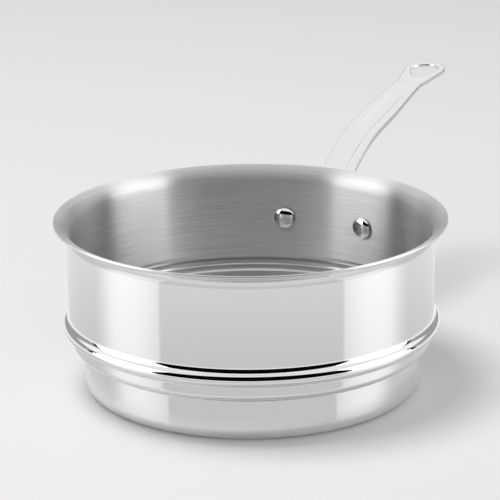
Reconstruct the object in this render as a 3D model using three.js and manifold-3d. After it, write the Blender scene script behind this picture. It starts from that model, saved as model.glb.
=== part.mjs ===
// Steamer insert: a drawn steel basket with a perforated floor and one riveted cast handle.
// Millimetres, +Z up. The origin is the centre of the base, and the handle points along +Y.
import * as THREE from 'three';
import { mergeGeometries, mergeVertices } from 'three/addons/utils/BufferGeometryUtils.js';
import Module from 'manifold-3d';

const wasm = await Module();
wasm.setup();

// Basket sheet. Radii and heights are those of its outer face.
const SHEET = 1.4; // thickness of the drawn sheet
const HEIGHT = 103; // base to the top of the lip
const UPPER_RADIUS = 108; // straight wall above the bead
const LOWER_STEP = 8.4; // how far the lower wall is set in from the upper one
const BASE_BEND = 8; // bend between floor and lower wall
const SKIRT_STEP = 2; // how far the skirt under the bead is set in from the upper wall
const SKIRT_FOOT = 30.7; // height where the skirt starts to turn in to the lower wall
const SKIRT_BEND = 4; // round of that turn
const LEDGE_TILT = rad(62); // lean of the two ledges from upright, under the bead and under the skirt
const LEDGE_HOLLOW = 1.5; // hollow corner under each ledge
const BEAD_HEIGHT = 40.6; // height of the bead's widest line
const BEAD_PROUD = 3.5; // how far the bead stands out past the upper wall
const BEAD_BEND = 3.9; // round of the bead itself
const BEAD_FILLET = 4; // hollow between the bead and the upper wall
const LIP_BEND = 8; // flare of the pouring lip
const LIP_TURN = rad(87.5); // how far the lip turns out from the wall

// Floor perforations, in rings around a plain centre
const HOLE_DIAMETER = 5;
const FIRST_RING = 20; // radius of the innermost ring
const RING_PITCH = 15.5; // from ring to ring
const HOLE_PITCH = 16; // about, from hole to hole along a ring
const FLOOR_MARGIN = 8; // plain floor kept inside the base bend

// Rivets
const RIVET_SPACING = 53; // straight across, centre to centre
const RIVET_DROP = 32.5; // from the top of the lip down to the rivets
const RIVET_SHANK = 6.4; // diameter
const RIVET_HEAD = 13.8; // diameter of the domed head inside the basket
const RIVET_DOME = 3; // height of that head
const RIVET_TAIL = 11; // diameter of the formed tail outside
const RIVET_TAIL_DOME = 1.8;

// Handle spine: the line of the grip's top edges, two arcs that meet on a tangent
const HANDLE_REACH = 173.8; // from the basket's wall to the end of the loop
const TIP_RISE = 65.2; // height of that end above the rivets
const TIP_SLOPE = rad(7);
const GRIP_ARC = 1545; // radius of the long, nearly straight grip
const BEND_SLOPE = rad(11.1); // slope where the grip passes into the bend
const BEND_ARC = 128; // radius of the bend down to the flange
const ROOT_SLOPE = rad(47); // slope at the buried end of the stem

// Handle grip: widths from flange to loop
const ROOT_WIDTH = 34;
const STEM_WIDTH = 21.6;
const PALM_WIDTH = 22.9;
const NECK_WIDTH = 18.4;
const FLANK = 1.1; // straight side of the grip, below its rounded edge
const EDGE_ROUND = 0.8;
const ROOT_DEPTH = 15; // thickness of the casting, from flange to loop
const PALM_DEPTH = 6.2;
const NECK_DEPTH = 3.2;
const CHANNEL_WIDTH = 9.4; // scooped channel along the top
const CHANNEL_DEPTH = 1.2;
const CHANNEL_SLOPE = 3; // width of the channel's sloping side
const CHANNEL_END = 14; // from the channel's end to the end of the grip

// Hanging loop
const LOOP_LENGTH = 40.6; // from the end of the grip to the tip
const LOOP_RADIUS = 13.7;
const LOOP_DEPTH = 2.5;
const LOOP_RECESS = 0.3; // how far the loop's face lies below the grip's
const LOOP_ROUND = 1.1; // rounding of its edges and of the eye's
const LOOP_TUCK = 10; // how far the loop reaches back into the grip
const EYE_RADIUS = 9; // round end of the teardrop hole
const EYE_POINT_RADIUS = 3.8; // its narrow end
const EYE_LENGTH = 12.2; // between the centres of its two ends

// Rivet flange, a shield of metal that follows the wall
const FLANGE_WIDTH = 78;
const FLANGE_HEIGHT = 27;
const FLANGE_MIDDLE = 7.5; // thickness behind the stem
const FLANGE_END = 3.4; // thickness at its two ends

// Fits
const GAP = 0.3; // between pieces that touch
const SPOT_FACE = 0.8; // clearance round a rivet tail in its spot face
const SPOT_DEPTH = 0.6; // depth of that spot face

// Facets
const ROUND_STEPS = 64; // around the basket
const BEND_STEP = rad(28); // turn for each facet of a bend in the sheet
const HOLE_STEPS = 8;
const RIVET_STEPS = 20;
const DOME_STEPS = 5; // from a rivet's rim to its crown
const GRIP_STATIONS = 28; // sections along the grip
const EDGE_STEPS = 3; // around the grip's rounded edge
const BELLY_STEPS = 5; // from its flank to its lowest line
const OUTLINE_STEPS = 12; // around each end of the loop and the flange
const BEVEL_STEPS = 2; // across the loop's rounded edge
const SAME_POINT = 0.02; // points nearer than this are one

const LOWER_RADIUS = UPPER_RADIUS - LOWER_STEP;
const SKIRT_RADIUS = UPPER_RADIUS - SKIRT_STEP;
const WALL_INSIDE = UPPER_RADIUS - SHEET;
const HANDLE_SEAT = UPPER_RADIUS + GAP;
const RIVET_HEIGHT = HEIGHT - RIVET_DROP;
const RIVET_TURN = Math.asin(RIVET_SPACING / 2 / WALL_INSIDE);
const TIP_REACH = UPPER_RADIUS + HANDLE_REACH;
const TIP_HEIGHT = RIVET_HEIGHT + TIP_RISE;
const GRIP_LENGTH = GRIP_ARC * (BEND_SLOPE - TIP_SLOPE);
const SPINE_LENGTH = GRIP_LENGTH + BEND_ARC * (ROOT_SLOPE - BEND_SLOPE);

function rad(degrees) {
  return (degrees * Math.PI) / 180;
}

// A closed geometry as a solid that can be joined and cut
function solidOf(geometry) {
  const bare = geometry.clone();
  bare.deleteAttribute('normal');
  bare.deleteAttribute('uv');
  const merged = mergeVertices(bare, 1e-4);
  const corners = merged.index.array;
  const triangles = [];
  for (let i = 0; i < corners.length; i += 3) {
    const [a, b, c] = corners.slice(i, i + 3);
    if (a !== b && b !== c && c !== a) {
      triangles.push(a, b, c);
    }
  }
  const mesh = new wasm.Mesh({
    numProp: 3,
    vertProperties: new Float32Array(merged.attributes.position.array),
    triVerts: new Uint32Array(triangles),
  });
  return new wasm.Manifold(mesh);
}

// A solid as a geometry again
function geometryOf(solid) {
  const mesh = solid.getMesh();
  const geometry = new THREE.BufferGeometry();
  geometry.setAttribute('position', new THREE.BufferAttribute(new Float32Array(mesh.vertProperties), 3));
  geometry.setIndex(new THREE.BufferAttribute(new Uint32Array(mesh.triVerts), 1));
  geometry.computeVertexNormals();
  return geometry;
}

// A turned shape about Z, from points given as radius and height
function revolve(points, steps) {
  return new THREE.LatheGeometry(points, steps).rotateX(Math.PI / 2);
}

// A plain round bar along Z
function bar(radius, low, high, steps) {
  const geometry = new THREE.CylinderGeometry(radius, radius, high - low, steps);
  return geometry.rotateX(Math.PI / 2).translate(0, 0, (low + high) / 2);
}

// Height of the hollow corner under a ledge: the ledge is a tangent of the round above it and of this corner
function hollowHeight(roundRadius, roundHeight, bend, wallRadius) {
  const across = roundRadius - wallRadius - LEDGE_HOLLOW;
  return roundHeight - (bend + LEDGE_HOLLOW + across * Math.cos(LEDGE_TILT)) / Math.sin(LEDGE_TILT);
}

// One face of the basket's sheet, at a depth below the outer face, from the centre of the floor to the lip.
// Bends that turn towards the axis lose the depth from their radius, and bends that turn away gain it.
function sheetFace(depth) {
  const up = Math.PI;
  const face = new THREE.Path();
  const floorEdge = LOWER_RADIUS - BASE_BEND;
  face.moveTo(0, depth);
  face.lineTo(floorEdge, depth);
  face.absarc(floorEdge, BASE_BEND, BASE_BEND - depth, -Math.PI / 2, 0, false);

  const hollow = LEDGE_HOLLOW + depth;
  const skirtCentre = SKIRT_RADIUS - SKIRT_BEND;
  const lowerHollow = hollowHeight(skirtCentre, SKIRT_FOOT, SKIRT_BEND, LOWER_RADIUS);
  face.absarc(LOWER_RADIUS + LEDGE_HOLLOW, lowerHollow, hollow, up, up - LEDGE_TILT, true);
  face.absarc(skirtCentre, SKIRT_FOOT, SKIRT_BEND - depth, -LEDGE_TILT, 0, false);

  const beadCentre = UPPER_RADIUS + BEAD_PROUD - BEAD_BEND;
  const upperHollow = hollowHeight(beadCentre, BEAD_HEIGHT, BEAD_BEND, SKIRT_RADIUS);
  const beadSpan = BEAD_BEND + BEAD_FILLET;
  const beadTilt = Math.acos((UPPER_RADIUS + BEAD_FILLET - beadCentre) / beadSpan);
  const filletHeight = BEAD_HEIGHT + beadSpan * Math.sin(beadTilt);
  face.absarc(SKIRT_RADIUS + LEDGE_HOLLOW, upperHollow, hollow, up, up - LEDGE_TILT, true);
  face.absarc(beadCentre, BEAD_HEIGHT, BEAD_BEND - depth, -LEDGE_TILT, beadTilt, false);
  face.absarc(UPPER_RADIUS + BEAD_FILLET, filletHeight, BEAD_FILLET + depth, up + beadTilt, up, true);

  const lipHeight = HEIGHT - LIP_BEND - SHEET;
  face.absarc(UPPER_RADIUS + LIP_BEND, lipHeight, LIP_BEND + depth, up, up - LIP_TURN, true);
  return face;
}

// Points along a face: one step for a straight stretch, and more for a longer bend
function facePoints(face) {
  const points = [];
  for (const curve of face.curves) {
    const turn = curve.isEllipseCurve ? Math.abs(curve.aEndAngle - curve.aStartAngle) : 0;
    const steps = Math.max(1, Math.round(turn / BEND_STEP));
    points.push(...curve.getPoints(steps));
  }
  return points.filter((point, i) => i === 0 || point.distanceTo(points[i - 1]) > SAME_POINT);
}

// Every perforation as one set of separate bars through the floor
function floorHoles() {
  const bars = [];
  const lastRing = LOWER_RADIUS - BASE_BEND - FLOOR_MARGIN;
  for (let ring = FIRST_RING, row = 0; ring <= lastRing; ring += RING_PITCH, row += 1) {
    const count = Math.round((2 * Math.PI * ring) / HOLE_PITCH);
    for (let i = 0; i < count; i += 1) {
      const turn = (2 * Math.PI * (i + 0.5 * (row % 2))) / count;
      const hole = bar(HOLE_DIAMETER / 2, -SHEET, 2 * SHEET, HOLE_STEPS);
      bars.push(hole.translate(ring * Math.cos(turn), ring * Math.sin(turn), 0));
    }
  }
  return solidOf(mergeGeometries(bars));
}

// Two bars across the wall and the flange, on the rivets' axes
function rivetBores(radius, from, to) {
  const bores = [-1, 1].map((side) => {
    const bore = bar(radius, from, to, RIVET_STEPS).rotateX(-Math.PI / 2);
    return bore.rotateZ(-side * RIVET_TURN).translate(0, 0, RIVET_HEIGHT);
  });
  return solidOf(mergeGeometries(bores));
}

// The drawn basket, with its floor and its two rivet holes pierced
function steamerBasket() {
  const outside = facePoints(sheetFace(0));
  const inside = facePoints(sheetFace(SHEET)).reverse();
  const shell = solidOf(revolve([...outside, ...inside], ROUND_STEPS));
  const bores = rivetBores(RIVET_SHANK / 2 + GAP, WALL_INSIDE - RIVET_DOME, HANDLE_SEAT + FLANGE_MIDDLE);
  return geometryOf(shell.subtract(floorHoles()).subtract(bores));
}

// The handle's spine by its slope: reach and height of the grip's top edges
function spineAt(slope) {
  const gripCentre = new THREE.Vector2(
    TIP_REACH + GRIP_ARC * Math.sin(TIP_SLOPE),
    TIP_HEIGHT - GRIP_ARC * Math.cos(TIP_SLOPE),
  );
  const normal = (angle) => new THREE.Vector2(-Math.sin(angle), Math.cos(angle));
  if (slope <= BEND_SLOPE) {
    return normal(slope).multiplyScalar(GRIP_ARC).add(gripCentre);
  }
  const bendCentre = normal(BEND_SLOPE).multiplyScalar(GRIP_ARC - BEND_ARC).add(gripCentre);
  return normal(slope).multiplyScalar(BEND_ARC).add(bendCentre);
}

// The slope at a distance along the spine, measured back from the tip
function slopeBack(distance) {
  if (distance <= GRIP_LENGTH) {
    return TIP_SLOPE + distance / GRIP_ARC;
  }
  return BEND_SLOPE + (distance - GRIP_LENGTH) / BEND_ARC;
}

function smooth(low, high, value) {
  return THREE.MathUtils.smoothstep(value, low, high);
}

// Width, thickness and channel depth of the grip, at a distance back from the tip
function gripSizes(distance) {
  const palm = LOOP_LENGTH + GRIP_LENGTH / 2;
  const stem = SPINE_LENGTH - ROOT_WIDTH;
  const toPalm = smooth(LOOP_LENGTH, palm, distance);
  const toStem = smooth(palm, stem, distance);
  const toRoot = smooth(stem, SPINE_LENGTH, distance);
  const mix = THREE.MathUtils.lerp;
  const width = mix(mix(mix(NECK_WIDTH, PALM_WIDTH, toPalm), STEM_WIDTH, toStem), ROOT_WIDTH, toRoot);
  const depth = mix(mix(NECK_DEPTH, PALM_DEPTH, toPalm), ROOT_DEPTH, toRoot);
  const channelStart = LOOP_LENGTH + CHANNEL_END;
  const channel = CHANNEL_DEPTH * smooth(channelStart, channelStart + CHANNEL_WIDTH, distance);
  return { width, depth, channel };
}

// One section of the grip across the spine: points of side and rise, anticlockwise from the channel's middle
function gripSection({ width, depth, channel }) {
  const half = width / 2;
  const channelHalf = (CHANNEL_WIDTH / 2) * (width / PALM_WIDTH);
  const corner = half - EDGE_ROUND;
  const belly = FLANK + EDGE_ROUND;
  const right = [
    [channelHalf - CHANNEL_SLOPE / 2, -channel],
    [channelHalf + CHANNEL_SLOPE / 2, 0],
  ];
  for (let i = 0; i <= EDGE_STEPS; i += 1) {
    const turn = (Math.PI / 2) * (i / EDGE_STEPS);
    right.push([corner + EDGE_ROUND * Math.sin(turn), EDGE_ROUND * (Math.cos(turn) - 1)]);
  }
  for (let i = 0; i < BELLY_STEPS; i += 1) {
    const turn = (Math.PI / 2) * (i / BELLY_STEPS);
    right.push([half * Math.cos(turn), -belly - (depth - belly) * Math.sin(turn)]);
  }
  const left = right.map(([side, rise]) => [-side, rise]);
  return [[0, -channel], ...left, [0, -depth], ...right.reverse()];
}

// The grip and stem, lofted through sections square to the spine
function gripSolid() {
  const rings = [];
  for (let i = 0; i <= GRIP_STATIONS; i += 1) {
    const distance = THREE.MathUtils.lerp(LOOP_LENGTH, SPINE_LENGTH, i / GRIP_STATIONS);
    const slope = slopeBack(distance);
    const foot = spineAt(slope);
    const section = gripSection(gripSizes(distance));
    rings.push(
      section.map(([side, rise]) => [side, foot.x - rise * Math.sin(slope), foot.y + rise * Math.cos(slope)]),
    );
  }
  return solidOf(loft(rings));
}

// A closed skin through rings of equal count, capped by a fan at each end
function loft(rings) {
  const count = rings[0].length;
  const positions = rings.flat(2);
  const faces = [];
  for (let ring = 0; ring < rings.length - 1; ring += 1) {
    for (let i = 0; i < count; i += 1) {
      const a = ring * count + i;
      const b = ring * count + ((i + 1) % count);
      faces.push(a, b, a + count, b, b + count, a + count);
    }
  }
  const last = (rings.length - 1) * count;
  const below = count / 2;
  for (let i = 0; i < count; i += 1) {
    const next = (i + 1) % count;
    if (i !== below && next !== below) {
      faces.push(below, next, i, last + below, last + i, last + next);
    }
  }
  const geometry = new THREE.BufferGeometry();
  geometry.setAttribute('position', new THREE.Float32BufferAttribute(positions, 3));
  geometry.setIndex(faces);
  return geometry;
}

// Outline of two round ends joined by straight tangents, lying along +Y from the first end
function teardrop(path, firstRadius, lastRadius, start, length) {
  const lean = Math.asin((lastRadius - firstRadius) / length);
  path.absarc(0, start, firstRadius, Math.PI + lean, 2 * Math.PI - lean, false);
  path.absarc(0, start + length, lastRadius, -lean, Math.PI + lean, false);
  path.closePath();
  return path;
}

// The flat hanging loop with its teardrop eye, tangent to the end of the spine
function loopSolid() {
  const neck = NECK_WIDTH / 2 - GAP;
  const span = LOOP_LENGTH + LOOP_TUCK - LOOP_RADIUS - neck;
  const outline = teardrop(new THREE.Shape(), neck - LOOP_ROUND, LOOP_RADIUS - LOOP_ROUND, neck, span);
  const eyeStart = neck + span - EYE_LENGTH;
  outline.holes.push(
    teardrop(new THREE.Path(), EYE_POINT_RADIUS + LOOP_ROUND, EYE_RADIUS + LOOP_ROUND, eyeStart, EYE_LENGTH),
  );
  const plate = new THREE.ExtrudeGeometry(outline, {
    depth: LOOP_DEPTH - 2 * LOOP_ROUND,
    bevelThickness: LOOP_ROUND,
    bevelSize: LOOP_ROUND,
    bevelSegments: BEVEL_STEPS,
    curveSegments: OUTLINE_STEPS,
  });
  plate.translate(0, -(LOOP_LENGTH + LOOP_TUCK), LOOP_ROUND - LOOP_DEPTH - LOOP_RECESS);
  plate.rotateX(slopeBack(LOOP_LENGTH / 2));
  return solidOf(plate.translate(0, TIP_REACH, TIP_HEIGHT));
}

// The flange's outer face is a tighter cylinder than the wall: its radius, and its axis' place along +Y
function flangeFace() {
  const endHalf = FLANGE_WIDTH / 2;
  const wallFall = HANDLE_SEAT - Math.sqrt(HANDLE_SEAT ** 2 - endHalf ** 2);
  const fall = wallFall + FLANGE_MIDDLE - FLANGE_END;
  const radius = (endHalf ** 2 + fall ** 2) / (2 * fall);
  return { radius, centre: HANDLE_SEAT + FLANGE_MIDDLE - radius };
}

// The shield against the wall: a stadium cut from a bar that is thicker in the middle than at its ends
function flangeSolid() {
  const { radius, centre } = flangeFace();
  const low = RIVET_HEIGHT - FLANGE_HEIGHT / 2;
  const high = RIVET_HEIGHT + FLANGE_HEIGHT / 2;
  const outer = bar(radius, low, high, ROUND_STEPS).translate(0, centre, 0);
  const endHalf = FLANGE_WIDTH / 2;
  const round = FLANGE_HEIGHT / 2;
  const stadium = new THREE.Shape();
  stadium.absarc(-(endHalf - round), 0, round, Math.PI / 2, (3 * Math.PI) / 2, false);
  stadium.absarc(endHalf - round, 0, round, -Math.PI / 2, Math.PI / 2, false);
  stadium.closePath();
  const across = new THREE.ExtrudeGeometry(stadium, {
    depth: HANDLE_SEAT + 2 * FLANGE_MIDDLE,
    bevelEnabled: false,
    curveSegments: OUTLINE_STEPS,
  });
  across.rotateX(-Math.PI / 2).translate(0, 0, RIVET_HEIGHT);
  return solidOf(outer).intersect(solidOf(across));
}

// Where a rivet's tail lies, along its axis: in a spot face just below the flange's outer face
function tailSeat() {
  const { radius, centre } = flangeFace();
  const across = centre * Math.sin(RIVET_TURN);
  const face = centre * Math.cos(RIVET_TURN) + Math.sqrt(radius ** 2 - across ** 2);
  return face - SPOT_DEPTH;
}

// The cast handle: flange, stem, grip and loop in one piece, cut to the wall and drilled for its rivets
function handle() {
  const casting = flangeSolid().add(gripSolid()).add(loopSolid());
  const wall = solidOf(bar(HANDLE_SEAT, 0, HEIGHT - LIP_BEND, ROUND_STEPS));
  const bores = rivetBores(RIVET_SHANK / 2 + GAP, WALL_INSIDE, HANDLE_SEAT + 2 * FLANGE_MIDDLE);
  const spots = rivetBores(RIVET_TAIL / 2 + SPOT_FACE, tailSeat(), HANDLE_SEAT + 2 * FLANGE_MIDDLE);
  return geometryOf(casting.subtract(wall).subtract(bores).subtract(spots));
}

// Points of a shallow dome, from its rim to its crown
function domePoints(radius, seat, height) {
  const points = [];
  for (let i = 0; i <= DOME_STEPS; i += 1) {
    const turn = (Math.PI / 2) * (i / DOME_STEPS);
    points.push(new THREE.Vector2(radius * Math.cos(turn), seat + height * Math.sin(turn)));
  }
  return points;
}

// One rivet along its own +Z, which points out of the basket: dome inside, shank, formed tail outside
function rivet() {
  const sag = WALL_INSIDE - Math.sqrt(WALL_INSIDE ** 2 - (RIVET_HEAD / 2) ** 2);
  const headSeat = WALL_INSIDE - sag - GAP;
  const seat = tailSeat() + GAP;
  const head = domePoints(RIVET_HEAD / 2, headSeat, -RIVET_DOME).reverse();
  const shank = [headSeat, seat].map((height) => new THREE.Vector2(RIVET_SHANK / 2, height));
  const profile = [...head, ...shank, ...domePoints(RIVET_TAIL / 2, seat, RIVET_TAIL_DOME)];
  profile[0].x = 0;
  profile[profile.length - 1].x = 0;
  return geometryOf(solidOf(revolve(profile, RIVET_STEPS)));
}

const polished = new THREE.MeshStandardMaterial({ color: 0xd6d6d4, metalness: 1, roughness: 0.16 });
const cast = new THREE.MeshStandardMaterial({ color: 0xdcdcda, metalness: 1, roughness: 0.28 });
const rivetSteel = new THREE.MeshStandardMaterial({ color: 0xcfcfce, metalness: 1, roughness: 0.12 });

function named(name, geometry, material) {
  const mesh = new THREE.Mesh(geometry, material);
  mesh.name = name;
  return mesh;
}

const insert = new THREE.Group();
insert.add(named('steamer_basket', steamerBasket(), polished));
insert.add(named('handle', handle(), cast));
for (const [side, name] of [[-1, 'rivet_left'], [1, 'rivet_right']]) {
  const piece = named(name, rivet(), rivetSteel);
  piece.rotation.set(-Math.PI / 2, 0, 0);
  const arm = new THREE.Group();
  arm.rotation.z = -side * RIVET_TURN;
  arm.position.z = RIVET_HEIGHT;
  arm.add(piece);
  insert.add(arm);
}

export default insert;
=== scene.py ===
"""Looks of a steamer insert: a drawn steel basket with a stepped wall, a cast handle and two rivets.

Every piece is in metres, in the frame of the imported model: +Z up, the handle along +Y and the
origin at the centre of the base. Each piece here stands for the CAD node of the same shape.
"""

import logging
import math
from dataclasses import dataclass
from enum import Enum
from functools import cache
from typing import Sequence

import bmesh
import bpy
from bmesh.types import BMEdge, BMesh, BMFace, BMVert
from bpy.types import ID, Material, Mesh, Node, NodeSocket, NodeTree, Object
from mathutils import Matrix, Vector


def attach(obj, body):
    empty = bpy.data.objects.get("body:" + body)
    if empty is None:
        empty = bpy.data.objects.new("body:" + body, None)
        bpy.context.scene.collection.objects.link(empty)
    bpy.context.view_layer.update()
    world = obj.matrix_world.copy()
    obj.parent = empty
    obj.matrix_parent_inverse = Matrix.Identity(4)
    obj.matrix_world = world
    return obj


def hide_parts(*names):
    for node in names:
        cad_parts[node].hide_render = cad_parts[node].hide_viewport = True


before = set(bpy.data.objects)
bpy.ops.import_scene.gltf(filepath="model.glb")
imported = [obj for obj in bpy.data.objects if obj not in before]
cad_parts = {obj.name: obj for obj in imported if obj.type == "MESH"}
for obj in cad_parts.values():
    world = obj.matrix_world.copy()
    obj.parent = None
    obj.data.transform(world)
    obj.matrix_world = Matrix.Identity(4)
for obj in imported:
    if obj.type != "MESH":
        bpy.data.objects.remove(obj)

LOG = logging.getLogger("steamer_insert")

MM = 0.001
BODY = "root"
MERGE = 0.002 * MM
HAIR = 0.01 * MM

SHEET = 1.4 * MM
BASKET_HEIGHT = 103 * MM
UPPER_RADIUS = 108 * MM
WALL_INSIDE = UPPER_RADIUS - SHEET
RIVET_DROP = 32.5 * MM
RIVET_HEIGHT = BASKET_HEIGHT - RIVET_DROP
RIVET_SPACING = 53 * MM
RIVET_TURN = math.asin(RIVET_SPACING / 2 / WALL_INSIDE)
VIEW_AZIMUTH = 26.1

Point = tuple[float, float]
Colour = tuple[float, float, float]


def arc(centre: Point, radius: float, start: float, end: float, step: float = 6.0) -> list[Point]:
    """Points of a round stretch of an outline, both ends included.

    Args:
        centre: Centre of the round stretch.
        radius: Its radius.
        start: Angle of its first point, in degrees.
        end: Angle of its last point, in degrees.
        step: About how far one point turns from the next, in degrees.

    Returns:
        The points in order from start to end.
    """
    count = max(2, round(abs(end - start) / step))
    turns = [math.radians(start + (end - start) * i / count) for i in range(count + 1)]
    return [(centre[0] + radius * math.cos(t), centre[1] + radius * math.sin(t)) for t in turns]


def smoothstep(low: float, high: float, value: float) -> float:
    """Ease from 0 at low to 1 at high."""
    share = min(1.0, max(0.0, (value - low) / (high - low)))
    return share * share * (3 - 2 * share)


def mix(first: float, last: float, share: float) -> float:
    """Value between first and last."""
    return first + (last - first) * share


def add_object(name: str, data: ID) -> Object:
    """Add an object to the scene.

    Args:
        name: Its name.
        data: Its mesh, lamp or camera.

    Returns:
        The object.
    """
    made = bpy.data.objects.new(name, data)
    bpy.context.scene.collection.objects.link(made)
    return made


def mesh_object(name: str, bm: BMesh) -> Object:
    """Add a bmesh to the scene as an object, and free it.

    Args:
        name: Name of the object and its mesh.
        bm: The bmesh.

    Returns:
        The object.
    """
    mesh = bpy.data.meshes.new(name)
    bm.to_mesh(mesh)
    bm.free()
    return add_object(name, mesh)


class Graph:
    """Wires the nodes of one shader tree."""

    def __init__(self, tree: NodeTree) -> None:
        """Start from an empty tree.

        Args:
            tree: The node tree of a material or a world.
        """
        self.tree = tree
        tree.nodes.clear()

    def node(self, kind: str, **settings: object) -> Node:
        """Add a node.

        Args:
            kind: Its type, such as ShaderNodeMath.
            settings: Properties to set on it.

        Returns:
            The new node.
        """
        made = self.tree.nodes.new(kind)
        for name, value in settings.items():
            setattr(made, name, value)
        return made

    def feed(self, socket: NodeSocket, value: object) -> None:
        """Link an output to a socket, or set the socket to a plain value.

        Args:
            socket: The input that is fed.
            value: An output, or a value that the input can hold.
        """
        if isinstance(value, NodeSocket):
            self.tree.links.new(value, socket)
        else:
            socket.default_value = value

    def math(self, operation: str, *values: object) -> NodeSocket:
        """Combine numbers.

        Args:
            operation: Name of the Math node's operation.
            values: Outputs or plain numbers, in the node's order.

        Returns:
            The result's socket.
        """
        made = self.node("ShaderNodeMath", operation=operation)
        for socket, value in zip(made.inputs, values):
            self.feed(socket, value)
        return made.outputs[0]

    def ease(
        self, value: object, low: float, high: float, first: object = 0.0, last: object = 1.0
    ) -> NodeSocket:
        """Ease a number from one value to another as it crosses a range.

        Args:
            value: The number that is read.
            low: Where the change starts.
            high: Where it ends.
            first: Result at low.
            last: Result at high.

        Returns:
            The result's socket.
        """
        made = self.node("ShaderNodeMapRange", interpolation_type="SMOOTHSTEP")
        for socket, given in zip(made.inputs, (value, low, high, first, last)):
            self.feed(socket, given)
        return made.outputs[0]

    def above(self, value: object, limit: float, soft: float) -> NodeSocket:
        """1 above a limit and 0 below it, with a soft edge."""
        return self.ease(value, limit - soft, limit + soft)

    def below(self, value: object, limit: float, soft: float) -> NodeSocket:
        """1 below a limit and 0 above it, with a soft edge."""
        return self.ease(value, limit - soft, limit + soft, 1.0, 0.0)

    def between(self, value: object, low: float, high: float, soft: float) -> NodeSocket:
        """1 between two limits and 0 outside them, with soft edges."""
        return self.math("MULTIPLY", self.above(value, low, soft), self.below(value, high, soft))

    def lay(self, under: object, over: object, *shares: NodeSocket) -> NodeSocket:
        """Lay one number over another.

        Args:
            under: The number below.
            over: The number laid over it.
            shares: How much of it shows, from 0 to 1, multiplied together.

        Returns:
            The result's socket.
        """
        share = shares[0]
        for other in shares[1:]:
            share = self.math("MULTIPLY", share, other)
        blend = self.node("ShaderNodeMix", data_type="FLOAT")
        self.feed(blend.inputs[0], share)
        self.feed(blend.inputs[2], under)
        self.feed(blend.inputs[3], over)
        return blend.outputs[0]

    def noise(self, vector: object, scale: float, detail: float, roughness: float = 0.5) -> NodeSocket:
        """Add a noise texture.

        Args:
            vector: Coordinates that it reads.
            scale: Its fineness, in waves for each metre of those coordinates.
            detail: How many finer layers it has.
            roughness: How strong those layers are.

        Returns:
            Its value's socket, from 0 to 1.
        """
        made = self.node("ShaderNodeTexNoise")
        self.feed(made.inputs["Vector"], vector)
        made.inputs["Scale"].default_value = scale
        made.inputs["Detail"].default_value = detail
        made.inputs["Roughness"].default_value = roughness
        return made.outputs[0]


def new_material(name: str) -> tuple[Material, Graph, NodeSocket]:
    """Start a material.

    Args:
        name: Its name.

    Returns:
        The material, its nodes and the socket that takes its shader.
    """
    made = bpy.data.materials.new(name)
    made.use_nodes = True
    graph = Graph(made.node_tree)
    return made, graph, graph.node("ShaderNodeOutputMaterial").inputs["Surface"]


class Grain(Enum):
    """Direction that a steel surface was worked in."""

    TURNED = "around the basket's axis"
    DRAWN = "along the handle"
    EVEN = "in no direction"


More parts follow.
